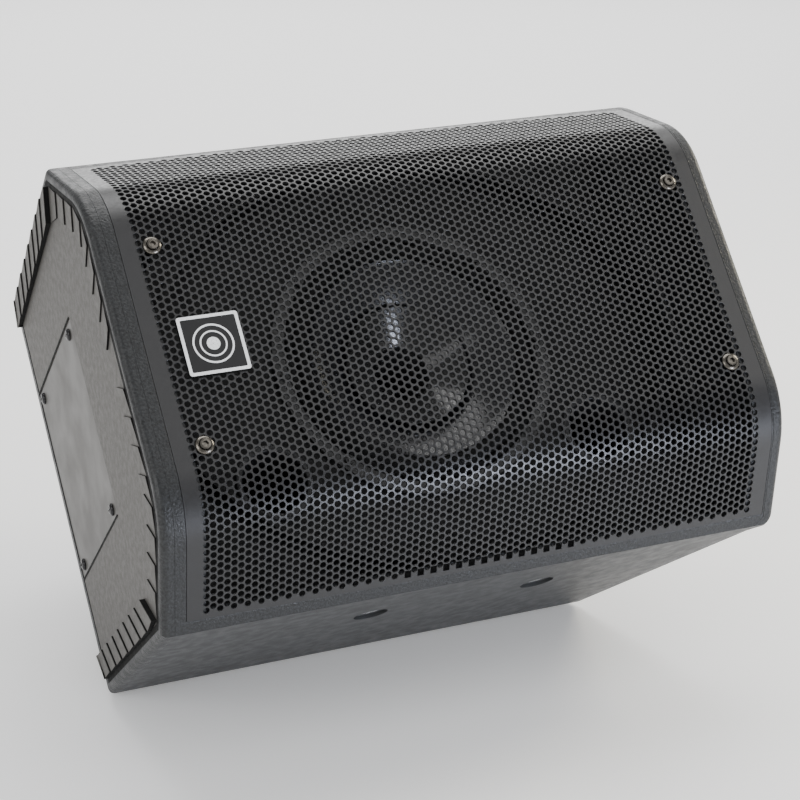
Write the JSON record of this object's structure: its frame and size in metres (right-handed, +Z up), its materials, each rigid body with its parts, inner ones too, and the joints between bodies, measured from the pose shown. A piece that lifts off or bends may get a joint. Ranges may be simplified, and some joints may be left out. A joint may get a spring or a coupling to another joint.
{
  "type": "stage monitor wedge",
  "caption": "Powered wedge-shaped floor monitor loudspeaker on its side chamfer: perforated wrap grille, coaxial driver, ribbed end panel, handle and amplifier panel with controls.",
  "frame": {"origin": "middle of the bounding box on the floor, under the cabinet", "axes": "+X along the cabinet from its ribbed bottom end to its handle end, -Y towards the listener who faces the grille, +Z up"},
  "size_m": [0.4676, 0.3697, 0.3705],
  "materials": {
    "textured_shell": "fine orange-peel texture",
    "grey_panel": "fine spark-eroded stipple",
    "cover_black": "smooth satin",
    "grille_steel": "satin powder coat over perforated sheet",
    "nickel_screws": "nickel plate",
    "black_screws": "gloss black oxide",
    "badge_black": "gloss with silver ring emblem",
    "baffle_board": "black-painted birch plywood",
    "black_plastic": "moulded satin",
    "latch_metal": "plated",
    "knob_plastic": "soft-touch moulded",
    "grip_rubber": "matte grip",
    "feet_rubber": "matte",
    "soft_rubber": "satin",
    "cone_pulp": "pressed paper pulp",
    "copper_coil": "enamelled wire",
    "spider_cloth": "phenolic cloth",
    "basket_steel": "black paint",
    "plated_steel": "zinc plate",
    "ferrite": "fired ferrite",
    "horn_plastic": "satin",
    "dome_metal": "thin foil",
    "panel_paint": "fine black powder coat",
    "fin_aluminium": "black anodised",
    "lamp_green": "diffused lens",
    "board_green": "solder mask",
    "spacer_brass": "machined",
    "foam_grey": "open-cell foam"
  },
  "bodies": {
    "cabinet": {"rear_shell": "textured_shell", "bottom_end_cap": "textured_shell", "top_end_cap": "textured_shell", "front_frame": "textured_shell", "end_panel": "grey_panel", "rib_pads": "grey_panel", "cover_plate": "cover_black", "grille": "grille_steel", "grille_screws": "nickel_screws", "grille_cup_washers": "nickel_screws", "cover_plate_screws": "black_screws", "amp_panel_screws": "black_screws", "driver_screws": "black_screws", "handle_screws": "black_screws", "badge": "badge_black", "baffle": "baffle_board", "port_tube_left": "black_plastic", "port_tube_right": "black_plastic", "handle_cup": "black_plastic", "mains_inlet": "black_plastic", "switch_frame": "black_plastic", "combo_jack_1": "black_plastic", "combo_jack_2": "black_plastic", "link_socket": "black_plastic", "potentiometers": "black_plastic", "handle_bar": "grip_rubber", "floor_feet": "feet_rubber", "driver_gasket": "soft_rubber", "driver_surround": "soft_rubber", "driver_spider": "spider_cloth", "driver_basket": "basket_steel", "grille_posts": "basket_steel", "driver_top_plate": "plated_steel", "driver_pole_yoke": "plated_steel", "rigging_inserts": "plated_steel", "driver_magnet": "ferrite", "driver_horn": "horn_plastic", "hf_driver": "horn_plastic", "amp_panel": "panel_paint", "heat_sink": "fin_aluminium", "panel_lamps": "lamp_green", "amp_board": "board_green", "power_supply": "board_green", "board_spacers": "spacer_brass", "damping_foam": "foam_grey"},
    "cone_assembly": {"driver_cone": "cone_pulp", "voice_coil": "copper_coil"},
    "hf_dome": {"hf_diaphragm": "dome_metal"},
    "mic_control": {"knob_mic": "knob_plastic"},
    "line_control": {"knob_line": "knob_plastic"},
    "bass_control": {"knob_bass": "knob_plastic"},
    "treble_control": {"knob_treble": "knob_plastic"},
    "rocker": {"power_rocker": "black_plastic"},
    "mode_key": {"mode_button": "knob_plastic"},
    "lift_key": {"lift_button": "knob_plastic"},
    "latch_1": {"combo_latch_1": "latch_metal"},
    "latch_2": {"combo_latch_2": "latch_metal"},
    "fuse_tray": {"fuse_drawer": "black_plastic"}
  },
  "joints": [
    {"name": "cone_travel", "type": "slide", "parent": "cabinet", "child": "cone_assembly", "axis": [0, -0.7193, 0.6947], "range_m": [-0.004, 0.004], "stiffness_N_per_m": 2500, "deforming": ["driver_surround", "driver_spider"]},
    {"name": "hf_travel", "type": "slide", "parent": "cabinet", "child": "hf_dome", "axis": [0, -0.7193, 0.6947], "range_m": [-0.0004, 0.0004], "stiffness_N_per_m": 4000},
    {"name": "mic_turn", "type": "hinge", "parent": "cabinet", "child": "mic_control", "pos_m": [0.006, 0.14909, 0.08907], "axis": [0, 0.7193, -0.6947], "range_deg": [-150, 150]},
    {"name": "line_turn", "type": "hinge", "parent": "cabinet", "child": "line_control", "pos_m": [-0.026, 0.14909, 0.08907], "axis": [0, 0.7193, -0.6947], "range_deg": [-150, 150]},
    {"name": "bass_turn", "type": "hinge", "parent": "cabinet", "child": "bass_control", "pos_m": [-0.058, 0.14909, 0.08907], "axis": [0, 0.7193, -0.6947], "range_deg": [-150, 150]},
    {"name": "treble_turn", "type": "hinge", "parent": "cabinet", "child": "treble_control", "pos_m": [-0.09, 0.14909, 0.08907], "axis": [0, 0.7193, -0.6947], "range_deg": [-150, 150]},
    {"name": "rocker_tilt", "type": "hinge", "parent": "cabinet", "child": "rocker", "pos_m": [0.046, 0.14415, 0.08827], "axis": [1, 0, 0], "range_deg": [0, 16]},
    {"name": "mode_press", "type": "slide", "parent": "cabinet", "child": "mode_key", "axis": [0, -0.7193, 0.6947], "range_m": [0, 0.002], "stiffness_N_per_m": 300, "springref_m": -0.001},
    {"name": "lift_press", "type": "slide", "parent": "cabinet", "child": "lift_key", "axis": [0, -0.7193, 0.6947], "range_m": [0, 0.002], "stiffness_N_per_m": 300, "springref_m": -0.001},
    {"name": "latch_1_press", "type": "slide", "parent": "cabinet", "child": "latch_1", "axis": [0, -0.7193, 0.6947], "range_m": [0, 0.0014], "stiffness_N_per_m": 400, "springref_m": -0.001},
    {"name": "latch_2_press", "type": "slide", "parent": "cabinet", "child": "latch_2", "axis": [0, -0.7193, 0.6947], "range_m": [0, 0.0014], "stiffness_N_per_m": 400, "springref_m": -0.001},
    {"name": "fuse_pull", "type": "slide", "parent": "cabinet", "child": "fuse_tray", "axis": [0, 0.7193, -0.6947], "range_m": [0, 0.016]}
  ]
}
